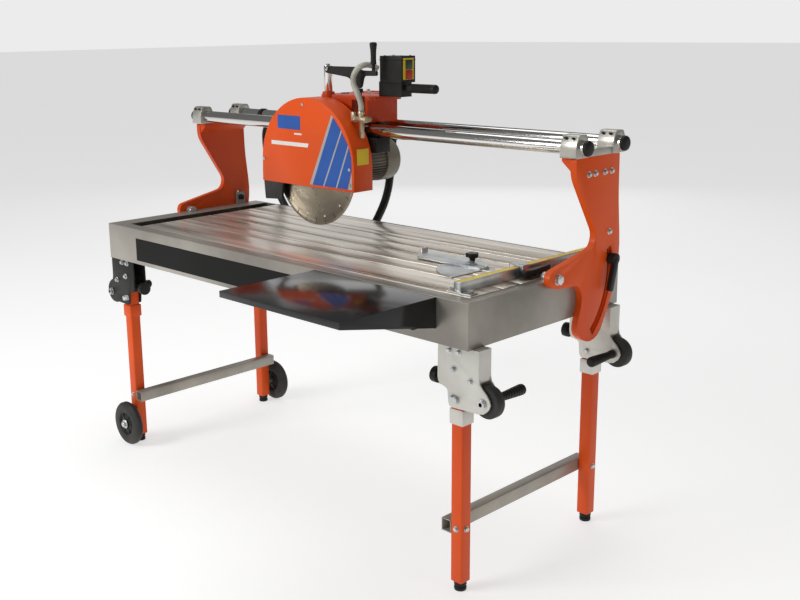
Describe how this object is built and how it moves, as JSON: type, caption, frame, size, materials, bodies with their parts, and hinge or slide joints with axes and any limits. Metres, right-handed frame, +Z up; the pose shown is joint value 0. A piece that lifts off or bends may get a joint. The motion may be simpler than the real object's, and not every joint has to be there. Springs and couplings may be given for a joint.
{
  "type": "wet tile saw",
  "caption": "Overhead-rail wet tile saw: tilting bridge, sliding cutting head over a slotted table in a water tray, side table, angle fence and folding wheeled legs.",
  "frame": {"origin": "middle of the underside at floor level, measured without the hanging conduit", "axes": "+X along the table to the operator's right, +Y away from the operator, +Z up"},
  "size_m": [1.686, 0.9766, 1.326],
  "materials": {
    "orange_paint": "gloss powder coat",
    "grey_paint": "satin",
    "table_aluminium": "extruded, brushed along its length",
    "cast_aluminium": "cast, painted light grey",
    "chromed_steel": "polished",
    "zinc_plate": "zinc plated",
    "black_plastic": "moulded",
    "black_metal": "satin black",
    "rubber": "moulded",
    "blade_steel": "turned",
    "motor_casting": "painted",
    "green_plastic": "gloss",
    "red_plastic": "gloss",
    "brass": "nickel plated",
    "grey_hose": "ribbed"
  },
  "bodies": {
    "frame": {"tray": "grey_paint", "table_front": "table_aluminium", "table_rear": "table_aluminium", "pivot_left": "zinc_plate", "pivot_right": "zinc_plate", "side_table": "black_metal", "fence_rule": "table_aluminium", "pump": "black_plastic", "bracket_right_front": "zinc_plate", "bracket_right_rear": "zinc_plate", "bracket_left_front": "zinc_plate", "bracket_left_rear": "zinc_plate", "handle_right_front": "black_plastic", "handle_right_rear": "black_plastic", "handle_left_front": "black_plastic", "handle_left_rear": "black_plastic"},
    "bridge": {"upright_left": "orange_paint", "upright_right": "orange_paint", "saddle_left": "cast_aluminium", "saddle_right": "cast_aluminium", "rail_front": "chromed_steel", "rail_rear": "chromed_steel", "supply_conduit": "rubber"},
    "right_tilt_clamp": {"tilt_clamp_right": "black_metal"},
    "left_tilt_clamp": {"tilt_clamp_left": "black_metal"},
    "carriage": {"carriage_frame": "orange_paint", "lower_carriage": "black_metal", "fulcrum_column": "chromed_steel", "switch_box": "black_plastic", "push_handle": "black_plastic"},
    "start_switch": {"start_button": "green_plastic"},
    "stop_switch": {"stop_button": "red_plastic"},
    "head": {"guard": "orange_paint", "guard_flap": "rubber", "motor": "motor_casting", "motor_mount": "black_metal", "water_valve": "brass", "water_hose": "grey_hose"},
    "spindle": {"blade": "blade_steel"},
    "lever": {"plunge_lever": "black_metal"},
    "lever_handle": {"lever_grip": "black_plastic"},
    "right_legs": {"leg_right_front": "orange_paint", "leg_right_rear": "orange_paint", "crossbar_right": "grey_paint"},
    "left_legs": {"leg_left_front": "orange_paint", "leg_left_rear": "orange_paint", "crossbar_left": "grey_paint"},
    "front_wheel": {"wheel_front": "rubber"},
    "rear_wheel": {"wheel_rear": "rubber"},
    "fence": {"fence_slider": "zinc_plate"},
    "fence_swing": {"fence_arm": "zinc_plate"},
    "fence_lock": {"fence_knob": "black_plastic"},
    "right_front_roller": {"roller_right_front": "rubber"},
    "right_rear_roller": {"roller_right_rear": "rubber"},
    "left_front_roller": {"roller_left_front": "rubber"},
    "left_rear_roller": {"roller_left_rear": "rubber"},
    "right_front_lock": {"lock_knob_right_front": "black_plastic"},
    "right_rear_lock": {"lock_knob_right_rear": "black_plastic"},
    "left_front_lock": {"lock_knob_left_front": "black_plastic"},
    "left_rear_lock": {"lock_knob_left_rear": "black_plastic"}
  },
  "joints": [
    {"name": "bridge_tilt", "type": "hinge", "parent": "frame", "child": "bridge", "pos_m": [0, 0.1489, 0.755], "axis": [1, 0, 0], "range_deg": [0, 45]},
    {"name": "right_clamp_turn", "type": "hinge", "parent": "frame", "child": "right_tilt_clamp", "pos_m": [0.79, 0.37205, 0.77452], "axis": [1, 0, 0], "range_deg": [-60, 60]},
    {"name": "left_clamp_turn", "type": "hinge", "parent": "frame", "child": "left_tilt_clamp", "pos_m": [-0.79, 0.37205, 0.77452], "axis": [1, 0, 0], "range_deg": [-60, 60]},
    {"name": "carriage_travel", "type": "slide", "parent": "bridge", "child": "carriage", "axis": [1, 0, 0], "range_m": [-0.42, 0.6]},
    {"name": "start_press", "type": "slide", "parent": "carriage", "child": "start_switch", "axis": [-1, 0, 0], "range_m": [0, 0.003], "stiffness_N_per_m": 900},
    {"name": "stop_press", "type": "slide", "parent": "carriage", "child": "stop_switch", "axis": [-1, 0, 0], "range_m": [0, 0.003], "stiffness_N_per_m": 900},
    {"name": "head_plunge", "type": "slide", "parent": "carriage", "child": "head", "axis": [0, 0, 1], "range_m": [-0.05, 0]},
    {"name": "blade_spin", "type": "hinge", "parent": "head", "child": "spindle", "pos_m": [-0.105, 0.1489, 0.96], "axis": [0, 1, 0], "continuous": true},
    {"name": "lever_swing", "type": "hinge", "parent": "carriage", "child": "lever", "pos_m": [-0.089, 0.1989, 1.248], "axis": [0, 1, 0], "range_deg": [0, 22.3]},
    {"name": "grip_turn", "type": "hinge", "parent": "lever", "child": "lever_handle", "pos_m": [0.101, 0.1954, 1.29], "axis": [0, 0, 1], "continuous": true},
    {"name": "right_legs_fold", "type": "hinge", "parent": "frame", "child": "right_legs", "pos_m": [0.72, 0.1369, 0.505], "axis": [0, 1, 0], "range_deg": [0, 90]},
    {"name": "left_legs_fold", "type": "hinge", "parent": "frame", "child": "left_legs", "pos_m": [-0.72, 0.1369, 0.505], "axis": [0, -1, 0], "range_deg": [0, 90]},
    {"name": "front_wheel_spin", "type": "hinge", "parent": "left_legs", "child": "front_wheel", "pos_m": [-0.712, -0.1791, 0.075], "axis": [0, 1, 0], "continuous": true},
    {"name": "rear_wheel_spin", "type": "hinge", "parent": "left_legs", "child": "rear_wheel", "pos_m": [-0.712, 0.4529, 0.075], "axis": [0, 1, 0], "continuous": true},
    {"name": "right_front_roller_spin", "type": "hinge", "parent": "frame", "child": "right_front_roller", "pos_m": [0.803, -0.1331, 0.514], "axis": [0, 1, 0], "continuous": true},
    {"name": "right_rear_roller_spin", "type": "hinge", "parent": "frame", "child": "right_rear_roller", "pos_m": [0.803, 0.4069, 0.514], "axis": [0, 1, 0], "continuous": true},
    {"name": "left_front_roller_spin", "type": "hinge", "parent": "frame", "child": "left_front_roller", "pos_m": [-0.803, -0.1331, 0.514], "axis": [0, 1, 0], "continuous": true},
    {"name": "left_rear_roller_spin", "type": "hinge", "parent": "frame", "child": "left_rear_roller", "pos_m": [-0.803, 0.4069, 0.514], "axis": [0, 1, 0], "continuous": true},
    {"name": "right_front_lock_pull", "type": "slide", "parent": "frame", "child": "right_front_lock", "axis": [-1, 0, 0], "range_m": [0, 0.01], "stiffness_N_per_m": 600},
    {"name": "right_rear_lock_pull", "type": "slide", "parent": "frame", "child": "right_rear_lock", "axis": [-1, 0, 0], "range_m": [0, 0.01], "stiffness_N_per_m": 600},
    {"name": "left_front_lock_pull", "type": "slide", "parent": "frame", "child": "left_front_lock", "axis": [1, 0, 0], "range_m": [0, 0.01], "stiffness_N_per_m": 600},
    {"name": "left_rear_lock_pull", "type": "slide", "parent": "frame", "child": "left_rear_lock", "axis": [1, 0, 0], "range_m": [0, 0.01], "stiffness_N_per_m": 600},
    {"name": "fence_travel", "type": "slide", "parent": "frame", "child": "fence", "axis": [0, 1, 0], "range_m": [-0.14, 0.24]},
    {"name": "fence_angle", "type": "hinge", "parent": "fence", "child": "fence_swing", "pos_m": [0.58, 0.1219, 0.758], "axis": [0, 0, 1], "range_deg": [-45, 45]},
    {"name": "fence_knob_turn", "type": "hinge", "parent": "fence_swing", "child": "fence_lock", "pos_m": [0.505, 0.1569, 0.77], "axis": [0, 0, 1], "range_deg": [-180, 180]}
  ],
  "couplings": [
    {"joint": "lever_swing", "follows": "head_plunge", "rad_per_m": -7.7519}
  ]
}
